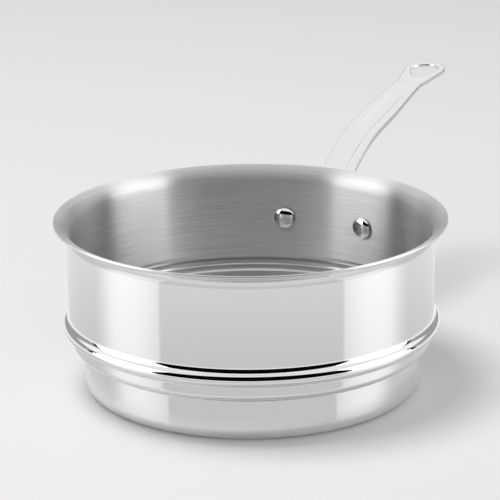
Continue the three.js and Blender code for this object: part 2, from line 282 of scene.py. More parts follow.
@dataclass(frozen=True)
class SteelFinish:
    """One finish of bare steel.

    Attributes:
        name: Name of its material.
        colour: Colour of its reflection.
        roughness: How far it blurs a reflection, from 0 to 1.
        smear: How much its roughness changes from place to place.
        grain: Direction of its fine lines.
        grain_pitch: Width of a fine line, in metres.
        grain_depth: Height of the lines' bump, in metres.
        swell: Height of its slow waves, in metres.
        anisotropy: How far its lines stretch a reflection across them.
        streak: How much darker and lighter its lines are.
        dulling: How much more it blurs a reflection up at the lip.
        dull_from: Height where that dulling starts, in metres.
        dull_to: Height where it is full.
    """

    name: str
    colour: Colour
    roughness: float
    smear: float
    grain: Grain
    grain_pitch: float
    grain_depth: float
    swell: float = 0.0
    anisotropy: float = 0.0
    streak: float = 0.03
    dulling: float = 0.0
    dull_from: float = 0.0
    dull_to: float = 1.0

    GRAIN_STRETCH = 0.012
    GRAIN_DETAIL = 4.0
    GRAIN_BITE = 0.65
    SWELL_SIZE = 45 * MM
    SWELL_DETAIL = 3.0
    SMOOTHEST = 0.02
    QUARTER_TURN = 0.25

    def material(self) -> Material:
        """Make the material's nodes.

        Returns:
            The material.
        """
        made, graph, surface = new_material(self.name)
        steel = graph.node("ShaderNodeBsdfPrincipled")
        graph.feed(surface, steel.outputs[0])
        steel.inputs["Metallic"].default_value = 1.0
        place = graph.node("ShaderNodeTexCoord").outputs["Object"]
        lines = graph.noise(self._grain_vector(graph, place), 1.0, self.GRAIN_DETAIL, self.GRAIN_BITE)
        clouds = graph.noise(place, 1 / self.SWELL_SIZE, self.SWELL_DETAIL)
        self._colour(graph, steel, lines)
        self._gloss(graph, steel, place, lines, clouds)
        self._bump(graph, steel, lines, clouds)
        return made

    def _grain_vector(self, graph: Graph, place: NodeSocket) -> NodeSocket:
        """Coordinates in which the fine lines are drawn out along the grain.

        Args:
            graph: The material's nodes.
            place: Coordinates in the piece's own frame.

        Returns:
            Coordinates that change fast across the lines and slowly along them.
        """
        fast = 1 / self.grain_pitch
        slow = fast * self.GRAIN_STRETCH
        split = graph.node("ShaderNodeSeparateXYZ")
        graph.feed(split.inputs[0], place)
        x, y, z = split.outputs
        joined = graph.node("ShaderNodeCombineXYZ")
        if self.grain is Grain.TURNED:
            squares = [graph.math("POWER", value, 2.0) for value in (x, y)]
            flat = graph.math("SQRT", graph.math("ADD", *squares))
            across = graph.math("MULTIPLY", graph.math("ADD", flat, z), fast)
            values = (graph.math("MULTIPLY", x, slow), graph.math("MULTIPLY", y, slow), across)
        elif self.grain is Grain.DRAWN:
            values = tuple(graph.math("MULTIPLY", v, s) for v, s in ((x, fast), (y, slow), (z, fast)))
        else:
            values = tuple(graph.math("MULTIPLY", v, fast) for v in (x, y, z))
        for socket, value in zip(joined.inputs, values):
            graph.feed(socket, value)
        return joined.outputs[0]

    def _colour(self, graph: Graph, steel: Node, lines: NodeSocket) -> None:
        """Give the reflection its colour, a little lighter and darker from line to line.

        Args:
            graph: The material's nodes.
            steel: Its shader.
            lines: Value of the fine lines, from 0 to 1.
        """
        tint = graph.node("ShaderNodeMix", data_type="RGBA")
        graph.feed(tint.inputs["Factor"], lines)
        tint.inputs["A"].default_value = (*[c * (1 - self.streak) for c in self.colour], 1.0)
        tint.inputs["B"].default_value = (*[min(1.0, c * (1 + self.streak)) for c in self.colour], 1.0)
        graph.feed(steel.inputs["Base Color"], tint.outputs["Result"])

    def _gloss(
        self, graph: Graph, steel: Node, place: NodeSocket, lines: NodeSocket, clouds: NodeSocket
    ) -> None:
        """Give the surface its roughness, with smears and dulling, and the stretch of its reflections.

        Args:
            graph: The material's nodes.
            steel: Its shader.
            place: Coordinates in the piece's own frame.
            lines: Value of the fine lines, from 0 to 1.
            clouds: Value of the slow waves, from 0 to 1.
        """
        spread = graph.math("MULTIPLY", graph.math("SUBTRACT", clouds, 0.5), 2 * self.smear)
        fine = graph.math("MULTIPLY", graph.math("SUBTRACT", lines, 0.5), self.smear)
        rough = graph.math("ADD", graph.math("ADD", spread, fine), self.roughness)
        if self.dulling:
            split = graph.node("ShaderNodeSeparateXYZ")
            graph.feed(split.inputs[0], place)
            duller = graph.ease(split.outputs["Z"], self.dull_from, self.dull_to, 0.0, self.dulling)
            rough = graph.math("ADD", rough, duller)
        graph.feed(steel.inputs["Roughness"], graph.math("MAXIMUM", rough, self.SMOOTHEST))
        if self.anisotropy:
            steel.inputs["Anisotropic"].default_value = self.anisotropy
            steel.inputs["Anisotropic Rotation"].default_value = self.QUARTER_TURN
            turned = graph.node("ShaderNodeTangent", direction_type="RADIAL", axis="Z")
            graph.feed(steel.inputs["Tangent"], turned.outputs[0])

    def _bump(self, graph: Graph, steel: Node, lines: NodeSocket, clouds: NodeSocket) -> None:
        """Raise the fine lines and the slow waves.

        Args:
            graph: The material's nodes.
            steel: Its shader.
            lines: Value of the fine lines, from 0 to 1.
            clouds: Value of the slow waves, from 0 to 1.
        """
        ridges = graph.math("MULTIPLY", lines, self.grain_depth)
        waves = graph.math("MULTIPLY", clouds, self.swell)
        bump = graph.node("ShaderNodeBump")
        bump.inputs["Strength"].default_value = 1.0
        bump.inputs["Distance"].default_value = 1.0
        graph.feed(bump.inputs["Height"], graph.math("ADD", ridges, waves))
        graph.feed(steel.inputs["Normal"], bump.outputs[0])


MIRROR_SHEET = SteelFinish(
    "mirror_sheet",
    colour=(0.80, 0.80, 0.795),
    roughness=0.04,
    smear=0.01,
    grain=Grain.TURNED,
    grain_pitch=0.12 * MM,
    grain_depth=0.0002 * MM,
)
BRUSHED_SHEET = SteelFinish(
    "brushed_sheet",
    colour=(0.76, 0.76, 0.755),
    roughness=0.37,
    smear=0.05,
    grain=Grain.TURNED,
    grain_pitch=0.6 * MM,
    grain_depth=0.002 * MM,
    anisotropy=1.0,
    streak=0.4,
    dulling=0.05,
    dull_from=86 * MM,
    dull_to=99 * MM,
)
SATIN_SHEET = SteelFinish(
    "satin_sheet",
    colour=(0.62, 0.62, 0.615),
    roughness=0.3,
    smear=0.05,
    grain=Grain.TURNED,
    grain_pitch=0.6 * MM,
    grain_depth=0.001 * MM,
    anisotropy=0.7,
    streak=0.2,
)
CUT_EDGE = SteelFinish(
    "cut_edge",
    colour=(0.72, 0.72, 0.715),
    roughness=0.36,
    smear=0.05,
    grain=Grain.TURNED,
    grain_pitch=0.15 * MM,
    grain_depth=0.004 * MM,
)
CAST_TOP = SteelFinish(
    "cast_top",
    colour=(0.83, 0.83, 0.825),
    roughness=0.22,
    smear=0.04,
    grain=Grain.DRAWN,
    grain_pitch=0.2 * MM,
    grain_depth=0.002 * MM,
    swell=0.01 * MM,
)
# Matt cast finish for the handle's flanks and underside. Its darker colour is painted shade on the faces
# that don't face up.
CAST_SIDE_PAINTED_SHADE = SteelFinish(
    "cast_side_painted_shade",
    colour=(0.52, 0.52, 0.515),
    roughness=0.4,
    smear=0.06,
    grain=Grain.EVEN,
    grain_pitch=0.4 * MM,
    grain_depth=0.01 * MM,
    swell=0.01 * MM,
)
POLISHED_EYE = SteelFinish(
    "polished_eye",
    colour=(0.80, 0.80, 0.795),
    roughness=0.1,
    smear=0.02,
    grain=Grain.EVEN,
    grain_pitch=0.3 * MM,
    grain_depth=0.0005 * MM,
)
MIRROR_RIVET = SteelFinish(
    "mirror_rivet",
    colour=(0.80, 0.80, 0.795),
    roughness=0.05,
    smear=0.02,
    grain=Grain.EVEN,
    grain_pitch=0.3 * MM,
    grain_depth=0.0005 * MM,
)


@dataclass
class Piece:
    """A piece that stands for one CAD node.

    Attributes:
        name: Name of its object.
        node: The CAD node that it stands for.
        slot: The record's material slot for the piece. It is not used.
        finishes: Its finishes, in the order of its faces' material numbers.
        crease: Angle past which an edge stays sharp, in degrees.
    """

    name: str
    node: str
    slot: str
    finishes: tuple[SteelFinish, ...]
    crease: float = 35.0

    def shape(self, bm: BMesh) -> None:
        """Model the piece in an empty bmesh."""
        raise NotImplementedError

    def build(self) -> Object:
        """Model the piece, dress it and join it to its body.

        Returns:
            The finished object.
        """
        bm = bmesh.new()
        self.shape(bm)
        made = mesh_object(self.name, bm)
        self.refine(made)
        for finish in self.finishes:
            made.data.materials.append(finish_material(finish))
        made.data.shade_smooth()
        made.data.set_sharp_from_angle(angle=math.radians(self.crease))
        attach(made, BODY)
        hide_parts(self.node)
        LOG.info("%s: %d faces, for node %s", made.name, len(made.data.polygons), self.node)
        return made

    def refine(self, made: Object) -> None:
        """Finish the mesh with modifiers. A plain piece needs none."""


@cache
def finish_material(finish: SteelFinish) -> Material:
    """The finish's material, made once."""
    return finish.material()


def apply_modifiers(made: Object) -> None:
    """Put the result of an object's modifiers into its mesh.

    Args:
        made: The object.
    """
    graph = bpy.context.evaluated_depsgraph_get()
    old = made.data
    done = bpy.data.meshes.new_from_object(made.evaluated_get(graph))
    made.modifiers.clear()
    made.data = done
    done.name = made.name
    bpy.data.meshes.remove(old)


def chain(bm: BMesh, points: Sequence[Vector], closed: bool = False) -> list[BMEdge]:
    """Draw a line of edges.

    Args:
        bm: The bmesh to draw in.
        points: Its points in order.
        closed: Whether the last point joins the first.

    Returns:
        The new edges.
    """
    verts = [bm.verts.new(point) for point in points]
    pairs = list(zip(verts, verts[1:]))
    if closed:
        pairs.append((verts[-1], verts[0]))
    return [bm.edges.new(pair) for pair in pairs]


def revolve(bm: BMesh, points: Sequence[Point], steps: int, mark: int = 0) -> None:
    """Turn a line of radius and height points about the Z axis.

    The turn is made in a bmesh of its own, which stays quick, and is then added.

    Args:
        bm: The bmesh to add it to.
        points: The line.
        steps: Steps of a full turn.
        mark: Material number of its faces.
    """
    turned = bmesh.new()
    chain(turned, [Vector((radius, 0, height)) for radius, height in points])
    line = turned.verts[:] + turned.edges[:]
    bmesh.ops.spin(
        turned, geom=line, cent=(0, 0, 0), axis=(0, 0, 1), angle=2 * math.pi, steps=steps, use_merge=True
    )
    for face in turned.faces:
        face.material_index = mark
    mesh = bpy.data.meshes.new("turned")
    turned.to_mesh(mesh)
    turned.free()
    bm.from_mesh(mesh)
    bpy.data.meshes.remove(mesh)


def supported(points: Sequence[Point], margin: float, long: float = 4.0) -> list[Point]:
    """Add a point near each end of every long straight stretch, so that it shades flat.

    Args:
        points: An outline.
        margin: Distance of the added points from the ends.
        long: How many margins a stretch needs to count as long.

    Returns:
        The outline with the points added.
    """
    made: list[Point] = [points[0]]
    for (x0, y0), (x1, y1) in zip(points, points[1:]):
        length = math.hypot(x1 - x0, y1 - y0)
        if length < MERGE:
            continue
        if length > long * margin:
            share = margin / length
            made += [(mix(x0, x1, s), mix(y0, y1, s)) for s in (share, 1 - share)]
        made.append((x1, y1))
    return made


class Region(Enum):
    """Parts of the basket's sheet, by their finish."""

    OUTSIDE = 0
    INSIDE = 1
    EDGE = 2
    GROOVE = 3


@dataclass
class Basket(Piece):
    """The drawn basket. Radii and heights are those of the sheet's outer face."""

    sheet: float = SHEET
    height: float = BASKET_HEIGHT
    upper_radius: float = UPPER_RADIUS
    lower_step: float = 8.4 * MM
    base_bend: float = 8 * MM
    skirt_step: float = 2 * MM
    skirt_foot: float = 30.7 * MM
    skirt_bend: float = 4 * MM
    ledge_tilt: float = 62.0
    ledge_hollow: float = 1.5 * MM
    bead_height: float = 40.6 * MM
    bead_proud: float = 3.5 * MM
    bead_bend: float = 3.9 * MM
    bead_fillet: float = 4 * MM
    lip_bend: float = 8 * MM
    lip_turn: float = 87.5
    edge_round: float = 0.45 * MM
    edge_segments: int = 3
    groove_top: float = 46.5 * MM
    hole_radius: float = 2.5 * MM
    hole_round: float = 0.25 * MM
    first_ring: float = 20 * MM
    ring_pitch: float = 15.5 * MM
    hole_pitch: float = 16 * MM
    floor_margin: float = 8 * MM
    plate_margin: float = 2 * MM
    steps: int = 256
    hole_steps: int = 24
    support: float = 0.4 * MM

    @property
    def lower_radius(self) -> float:
        """Radius of the lower wall."""
        return self.upper_radius - self.lower_step

    @property
    def floor_edge(self) -> float:
        """Radius where the floor passes into the base bend."""
        return self.lower_radius - self.base_bend

    @property
    def plate_radius(self) -> float:
        """Radius of the pierced plate, just inside the floor's edge."""
        return self.floor_edge - self.plate_margin

    def _hollow_height(self, round_centre: Point, bend: float, wall_radius: float) -> float:
        """Height of the hollow corner under a ledge.

        Args:
            round_centre: Centre of the round above the ledge.
            bend: Radius of that round.
            wall_radius: Radius of the wall below the ledge.

        Returns:
            Height at which the ledge is a tangent of both the round and the corner.
        """
        tilt = math.radians(self.ledge_tilt)
        across = round_centre[0] - wall_radius - self.ledge_hollow
        return round_centre[1] - (bend + self.ledge_hollow + across * math.cos(tilt)) / math.sin(tilt)

    def face_line(self, depth: float) -> list[Point]:
        """One face of the sheet, from the pierced plate to the lip.

        Args:
            depth: Depth of the face below the outer one.

        Returns:
            Radius and height of its points.
        """
        skirt_radius = self.upper_radius - self.skirt_step
        skirt = (skirt_radius - self.skirt_bend, self.skirt_foot)
        bead = (self.upper_radius + self.bead_proud - self.bead_bend, self.bead_height)
        span = self.bead_bend + self.bead_fillet
        bead_tilt = math.acos((self.upper_radius + self.bead_fillet - bead[0]) / span)
        fillet = (self.upper_radius + self.bead_fillet, bead[1] + span * math.sin(bead_tilt))
        lower_hollow = self._hollow_height(skirt, self.skirt_bend, self.lower_radius)
        upper_hollow = self._hollow_height(bead, self.bead_bend, skirt_radius)
        hollow = self.ledge_hollow + depth
        tilt, lean = self.ledge_tilt, math.degrees(bead_tilt)
        line: list[Point] = [(self.plate_radius, depth)]
        line += arc((self.floor_edge, self.base_bend), self.base_bend - depth, -90, 0)
        line += arc((self.lower_radius + self.ledge_hollow, lower_hollow), hollow, 180, 180 - tilt)
        line += arc(skirt, self.skirt_bend - depth, -tilt, 0)
        line += arc((skirt_radius + self.ledge_hollow, upper_hollow), hollow, 180, 180 - tilt)
        line += arc(bead, self.bead_bend - depth, -tilt, lean)
        line += arc(fillet, self.bead_fillet + depth, 180 + lean, 180)
        lip = (self.upper_radius + self.lip_bend, self.height - self.lip_bend - self.sheet)
        line += arc(lip, self.lip_bend + depth, 180, 180 - self.lip_turn)
        return supported(line, self.support)

    def holes(self) -> list[Vector]:
        """Place the floor's perforations, in rings around a plain centre.

        Returns:
            Their centres.
        """
        found: list[Vector] = []
        ring, row = self.first_ring, 0
        while ring <= self.floor_edge - self.floor_margin:
            count = round(2 * math.pi * ring / self.hole_pitch)
            for i in range(count):
                turn = 2 * math.pi * (i + 0.5 * (row % 2)) / count
                found.append(Vector((ring * math.cos(turn), ring * math.sin(turn), 0)))
            ring, row = ring + self.ring_pitch, row + 1
        return found

    def shape(self, bm: BMesh) -> None:
        """Pierce the floor, then spin the two faces and the cut edge that it joins.

        Args:
            bm: An empty bmesh.
        """
        outside, inside = self.face_line(0.0), self.face_line(self.sheet)
        self._floor(bm)
        revolve(bm, outside, self.steps, Region.OUTSIDE.value)
        revolve(bm, inside, self.steps, Region.INSIDE.value)
        inner = [f for f in bm.faces if f.material_index == Region.INSIDE.value]
        self._mark([f for f in inner if f.calc_center_median().z < self.groove_top], Region.GROOVE)
        revolve(bm, [outside[-1], inside[-1]], self.steps, Region.EDGE.value)
        bmesh.ops.remove_doubles(bm, verts=bm.verts[:], dist=MERGE)
        bmesh.ops.recalc_face_normals(bm, faces=bm.faces[:])
        self._round_edge(bm, (outside[-1], inside[-1]))

    def _mark(self, faces: Sequence[BMFace], region: Region) -> None:
        """Give faces the finish of a region."""
        for face in faces:
            face.material_index = region.value

    def _floor(self, bm: BMesh) -> None:
        """Pierce the floor's plate with its rings of holes.

        Args:
            bm: The basket's bmesh.
        """
        half = self.hole_radius + self.hole_round
        rims = [
            (half, 0.0),
            (self.hole_radius, self.hole_round),
            (self.hole_radius, self.sheet - self.hole_round),
            (half, self.sheet),
        ]
        below = self._ring(bm, Vector(), self.plate_radius, 0.0, self.steps)
        above = self._ring(bm, Vector(), self.plate_radius, self.sheet, self.steps)
        before = set(bm.faces)
        for centre in self.holes():
            rings = [self._ring(bm, centre, radius, rise, self.hole_steps) for radius, rise in rims]
            for lower, upper in zip(rings, rings[1:]):
                bmesh.ops.bridge_loops(bm, edges=lower + upper)
            below += rings[0]
            above += rings[-1]
        self._mark([f for f in bm.faces if f not in before], Region.INSIDE)
        for edges, region in ((below, Region.OUTSIDE), (above, Region.INSIDE)):
            before = set(bm.faces)
            bmesh.ops.triangle_fill(bm, use_beauty=True, edges=edges, normal=(0, 0, 1))
            self._mark([f for f in bm.faces if f not in before], region)

    @staticmethod
    def _ring(bm: BMesh, centre: Vector, radius: float, rise: float, steps: int) -> list[BMEdge]:
        """Draw a level circle of edges.

        Args:
            bm: The basket's bmesh.
            centre: Its centre on the base.
            radius: Its radius.
            rise: Its height above the base.
            steps: How many edges it has.

        Returns:
            The edges.
        """
        place = Matrix.Translation(centre + Vector((0, 0, rise)))
        verts = bmesh.ops.create_circle(bm, segments=steps, radius=radius, matrix=place)["verts"]
        return list({edge for vert in verts for edge in vert.link_edges})

    def _round_edge(self, bm: BMesh, corners: Sequence[Point]) -> None:
        """Break the two corners of the lip's cut edge.

        Args:
            bm: The basket's bmesh.
            corners: Radius and height of each corner.
        """

        def on_corner(vert: BMVert) -> bool:
            """Whether a point lies on one of the corners' circles."""
            flat = math.hypot(vert.co.x, vert.co.y)
            return any(math.hypot(flat - r, vert.co.z - h) < HAIR for r, h in corners)

        edges = [
            e
            for e in bm.edges
            if all(on_corner(v) for v in e.verts) and abs(e.verts[0].co.z - e.verts[1].co.z) < HAIR
        ]
        bmesh.ops.bevel(
            bm,
            geom=edges,
            offset=self.edge_round,
            offset_type="OFFSET",
            affect="EDGES",
            segments=self.edge_segments,
            profile=0.5,
            material=-1,
        )


@dataclass
class Rivet(Piece):
    """A rivet on its own +Z axis: domed head inside the basket, shank, and formed tail outside."""

    side: int = 1
    turn: float = RIVET_TURN
    height: float = RIVET_HEIGHT
    wall_inside: float = WALL_INSIDE
    shank: float = 3.2 * MM
    head: float = 6.9 * MM
    head_dome: float = 3 * MM
    tail: float = 5.5 * MM
    tail_dome: float = 1.8 * MM
    tail_seat: float = 113.34 * MM
    gap: float = 0.3 * MM
    support: float = 0.2 * MM
    steps: int = 64
    dome_steps: int = 15

    def shape(self, bm: BMesh) -> None:
        """Spin the rivet and carry it to its hole in the wall.

        Args:
            bm: An empty bmesh.
        """
        sag = self.wall_inside - math.sqrt(self.wall_inside**2 - self.head**2)
        seat = self.wall_inside - sag - self.gap
        line = [(r, seat - h) for r, h in reversed(self._dome(self.head, self.head_dome))]
        line += [(self.shank, seat), (self.shank, self.tail_seat)]
        line += [(r, self.tail_seat + h) for r, h in self._dome(self.tail, self.tail_dome)]
        revolve(bm, supported(line, self.support), self.steps)
        bmesh.ops.remove_doubles(bm, verts=bm.verts[:], dist=MERGE)
        bmesh.ops.recalc_face_normals(bm, faces=bm.faces[:])
        place = Matrix.Translation((0, 0, self.height))
        place @= Matrix.Rotation(-self.side * self.turn, 4, "Z") @ Matrix.Rotation(-math.pi / 2, 4, "X")
        bmesh.ops.transform(bm, matrix=place, verts=bm.verts[:])

    def _dome(self, radius: float, rise: float) -> list[Point]:
        """Radius and rise of a dome's points, from its rim to its crown."""
        turns = [math.pi / 2 * i / self.dome_steps for i in range(self.dome_steps + 1)]
        return [(radius * math.cos(t), rise * math.sin(t)) for t in turns]


class CastRegion(Enum):
    """Parts of the casting, by their finish."""

    TOP = 0
    SIDE = 1
    EYE = 2


@dataclass
class Handle(Piece):
    """The cast handle: flange on the wall, stem, channelled grip and hanging loop."""

    reach: float = 281.8 * MM
    tip_height: float = 135.7 * MM
    tip_slope: float = math.radians(7)
    grip_arc: float = 1545 * MM
    bend_slope: float = math.radians(11.1)
    bend_arc: float = 128 * MM
    root_slope: float = math.radians(47)
    root_width: float = 34 * MM
    stem_width: float = 21.6 * MM
    palm_width: float = 22.9 * MM
    neck_width: float = 18.4 * MM
    flank: float = 1.1 * MM
    edge_round: float = 0.8 * MM
    root_depth: float = 15 * MM
    palm_depth: float = 6.2 * MM
    neck_depth: float = 3.2 * MM
    channel_width: float = 9.4 * MM
    channel_depth: float = 1.2 * MM
    channel_slope: float = 3 * MM
    channel_end: float = 14 * MM
    loop_length: float = 40.6 * MM
    loop_radius: float = 13.7 * MM
    loop_depth: float = 2.5 * MM
    loop_recess: float = 0.3 * MM
    loop_round: float = 1.1 * MM
    loop_tuck: float = 10 * MM
    loop_step: int = 15
    eye_radius: float = 9 * MM
    eye_point: float = 3.8 * MM
    eye_length: float = 12.2 * MM
    eye_rim: float = 0.66 * MM
    flange_width: float = 78 * MM
    flange_height: float = 27 * MM
    flange_middle: float = 7.5 * MM
    flange_end: float = 3.4 * MM
    flange_round: float = 2 * MM
    flange_across: int = 64
    flange_up: int = 32
    rivet_height: float = RIVET_HEIGHT
    rivet_turn: float = RIVET_TURN
    spot_radius: float = 6.3 * MM
    spot_seat: float = 113.04 * MM
    spot_reach: float = 12 * MM
    spot_steps: int = 64
    join_near: float = 2 * MM
    join_far: float = 6 * MM
    join_inside: float = 20.4 * MM
    join_outside: float = 27.2 * MM
    top_lean: float = 0.92
    channel_lean: float = 0.5
    seat: float = 108.3 * MM
    stations: int = 150
    top_points: int = 24
    edge_step: float = 10.0
    belly_points: int = 18
    voxel: float = 0.45 * MM
    even_rounds: int = 3
    join_rounds: int = 30

    @property
    def grip_length(self) -> float:
        """Length of the spine's long arc."""
        return self.grip_arc * (self.bend_slope - self.tip_slope)

    @property
    def spine_length(self) -> float:
        """Length of the spine from the tip to the root."""
        return self.grip_length + self.bend_arc * (self.root_slope - self.bend_slope)

    def slope_back(self, distance: float) -> float:
        """Slope of the spine on its way back from the tip.

        Args:
            distance: Distance from the tip, along the spine.

        Returns:
            The slope there.
        """
        if distance <= self.grip_length:
            return self.tip_slope + distance / self.grip_arc
        return self.bend_slope + (distance - self.grip_length) / self.bend_arc

    def spine_at(self, slope: float) -> Point:
        """Point of the spine where it has a slope.

        Args:
            slope: The slope.

        Returns:
            The point's reach from the basket's axis, and its height.
        """

        def normal(angle: float, length: float) -> Vector:
            """A vector square to the spine."""
            return Vector((-math.sin(angle), math.cos(angle))) * length

        centre = Vector((self.reach, self.tip_height)) - normal(self.tip_slope, self.grip_arc)
        if slope > self.bend_slope:
            centre += normal(self.bend_slope, self.grip_arc - self.bend_arc)
            return tuple(centre + normal(slope, self.bend_arc))
        return tuple(centre + normal(slope, self.grip_arc))

    def slope_at(self, reach: float) -> float:
        """Slope of the spine by how far out it is.

        Args:
            reach: Distance from the basket's axis.

        Returns:
            The slope there.
        """
        centre = self.reach + math.sin(self.tip_slope) * self.grip_arc
        slope = math.asin((centre - reach) / self.grip_arc)
        if slope > self.bend_slope:
            centre -= math.sin(self.bend_slope) * (self.grip_arc - self.bend_arc)
            slope = math.asin(min(1.0, (centre - reach) / self.bend_arc))
        return min(slope, self.root_slope)

    def section(self, distance: float) -> list[Point]:
        """Outline of the grip, square to the spine.

        Args:
            distance: Distance back from the tip, along the spine.

        Returns:
            Side and rise of the outline's points, around from its channel.
        """
        palm = self.loop_length + self.grip_length / 2
        stem = self.spine_length - self.root_width
        to_palm = smoothstep(self.loop_length, palm, distance)
        to_stem = smoothstep(palm, stem, distance)
        to_root = smoothstep(stem, self.spine_length, distance)
        width = mix(mix(self.neck_width, self.palm_width, to_palm), self.stem_width, to_stem)
        width = mix(width, self.root_width, to_root)
        depth = mix(mix(self.neck_depth, self.palm_depth, to_palm), self.root_depth, to_root)
        start = self.loop_length + self.channel_end
        channel = self.channel_depth * smoothstep(start, start + self.channel_width, distance)
        half, belly = width / 2, self.flank + self.edge_round
        mouth = self.channel_width / 2 * width / self.palm_width
        low, high = mouth - self.channel_slope / 2, mouth + self.channel_slope / 2
        flat = half - self.edge_round
        across = [flat * i / self.top_points for i in range(1, self.top_points)]
        right = [(s, -channel * (1 - smoothstep(low, high, s))) for s in across]
        right += arc((flat, -self.edge_round), self.edge_round, 90, 0, self.edge_step)
        turns = [math.pi / 2 * i / self.belly_points for i in range(self.belly_points)]
        right += [(half * math.cos(t), -belly - (depth - belly) * math.sin(t)) for t in turns]
        left = [(-s, r) for s, r in reversed(right)]
        return [(0.0, -channel), *right, (0.0, -depth), *left]

    def shape(self, bm: BMesh) -> None:
        """Model the grip, the loop and the flange as three closed forms that meet.

        Args:
            bm: An empty bmesh.
        """
        self._grip(bm)
        self._loop(bm)
        self._flange(bm)
        bmesh.ops.recalc_face_normals(bm, faces=bm.faces[:])

    def _grip(self, bm: BMesh) -> None:
        """Loft the grip through sections square to the spine.

        Args:
            bm: The handle's bmesh.
        """
        rings: list[list[BMEdge]] = []
        for i in range(self.stations + 1):
            distance = mix(self.loop_length, self.spine_length, i / self.stations)
            slope = self.slope_back(distance)
            reach, height = self.spine_at(slope)
            points = [
                self._outside_wall(Vector((s, reach - r * math.sin(slope), height + r * math.cos(slope))))
                for s, r in self.section(distance)
            ]
            rings.append(chain(bm, points, closed=True))
        for first, last in zip(rings, rings[1:]):
            bmesh.ops.bridge_loops(bm, edges=first + last)
        for end in (rings[0], rings[-1]):
            bmesh.ops.edgeloop_fill(bm, edges=end)

    def _outside_wall(self, point: Vector) -> Vector:
        """Keep a point out of the basket's wall."""
        wall = math.sqrt(self.seat**2 - point.x**2)
        return Vector((point.x, max(point.y, wall), point.z))

    @staticmethod
    def _teardrop(first: float, last: float, start: float, length: float) -> list[Point]:
        """Outline of two round ends joined by tangents, lying along its second axis.

        Args:
            first: Radius of its first end.
            last: Radius of its last end.
            start: Place of the first end's centre.
            length: Distance from there to the last end's centre.

        Returns:
            Its points in order.
        """
        lean = math.degrees(math.asin((last - first) / length))
        line = arc((0.0, start), first, 180 + lean, 360 - lean)
        return line + arc((0.0, start + length), last, -lean, 180 + lean)

    @property
    def loop_neck(self) -> float:
        """Radius of the loop's narrow end, inside the grip."""
        return self.neck_width / 2 - self.loop_recess

    @property
    def loop_span(self) -> float:
        """Distance between the centres of the loop's two round ends."""
        return self.loop_length + self.loop_tuck - self.loop_radius - self.loop_neck

    @property
    def eye_start(self) -> float:
        """Distance of the eye's narrow end from the loop's hidden end."""
        return self.loop_neck + self.loop_span - self.eye_length

    def loop_place(self) -> Matrix:
        """Find where the loop's plate lies.

        Returns:
            Its place. Its own +Y axis points to the tip.
        """
        slope = self.slope_back(self.loop_length / 2)
        place = Matrix.Translation((0, self.reach, self.tip_height)) @ Matrix.Rotation(slope, 4, "X")
        return place @ Matrix.Translation((0, -(self.loop_length + self.loop_tuck), -self.loop_recess))

    def _loop(self, bm: BMesh) -> None:
        """Model the hanging loop as a plate with rounded edges around a teardrop eye.

        Args:
            bm: The handle's bmesh.
        """
        neck, span, eye, place = self.loop_neck, self.loop_span, self.eye_start, self.loop_place()
        half = self.loop_depth / 2
        outer: list[list[BMEdge]] = []
        inner: list[list[BMEdge]] = []
        for turn in (math.radians(t) for t in range(90, -91, -self.loop_step)):
            inset = self.loop_round * (1 - math.cos(turn))
            rise = math.copysign(half - self.loop_round, turn) + self.loop_round * math.sin(turn) - half
            for rings, sign, (first, last, start, length) in (
                (outer, -1, (neck, self.loop_radius, neck, span)),
                (inner, 1, (self.eye_point, self.eye_radius, eye, self.eye_length)),
            ):
                line = self._teardrop(first + sign * inset, last + sign * inset, start, length)
                rings.append(chain(bm, [place @ Vector((x, y, rise)) for x, y in line], closed=True))
        for rings in (outer, inner):
            for first, last in zip(rings, rings[1:]):
                bmesh.ops.bridge_loops(bm, edges=first + last)
        for end in (0, -1):
            bmesh.ops.triangle_fill(bm, use_beauty=True, edges=outer[end] + inner[end])

    def flange_face(self, side: float) -> float:
        """Distance of the flange's outer face from the basket's axis.

        Args:
            side: Distance to one side of the handle's middle.

        Returns:
            The distance, along the handle.
        """
        half = self.flange_width / 2
        fall = self.seat - math.sqrt(self.seat**2 - half**2) + self.flange_middle - self.flange_end
        radius = (half**2 + fall**2) / (2 * fall)
        return self.seat + self.flange_middle - radius + math.sqrt(radius**2 - side**2)

    def _flange(self, bm: BMesh) -> None:
        """Model the shield against the wall: a rounded bar, thicker in its middle than at its ends.

        Args:
            bm: The handle's bmesh.
        """
        half_width, half_height = self.flange_width / 2, self.flange_height / 2
        straight = half_width - half_height
        grid = bmesh.ops.create_grid(
            bm, x_segments=self.flange_across, y_segments=self.flange_up, size=1.0
        )["verts"]
        faces = list({face for vert in grid for face in vert.link_faces})
        made = bmesh.ops.extrude_face_region(bm, geom=faces)["geom"]
        back = {item for item in made if isinstance(item, BMVert)}
        for vert in [*grid, *back]:
            u, v = math.sin(vert.co.x * math.pi / 2), math.sin(vert.co.y * math.pi / 2)
            x = u * half_width
            past = max(0.0, abs(x) - straight)
            tall = math.sqrt(max(0.0, half_height**2 - past**2))
            z = v * tall
            edge = half_height - math.hypot(past, z)
            cut = max(0.0, self.flange_round - edge)
            drop = self.flange_round - math.sqrt(max(0.0, self.flange_round**2 - cut**2))
            face = self.flange_face(x) - drop
            wall = math.sqrt(self.seat**2 - x**2)
            vert.co = Vector((x, wall if vert in back else face, self.rivet_height + z))
        bmesh.ops.remove_doubles(bm, verts=[*grid, *back], dist=HAIR)

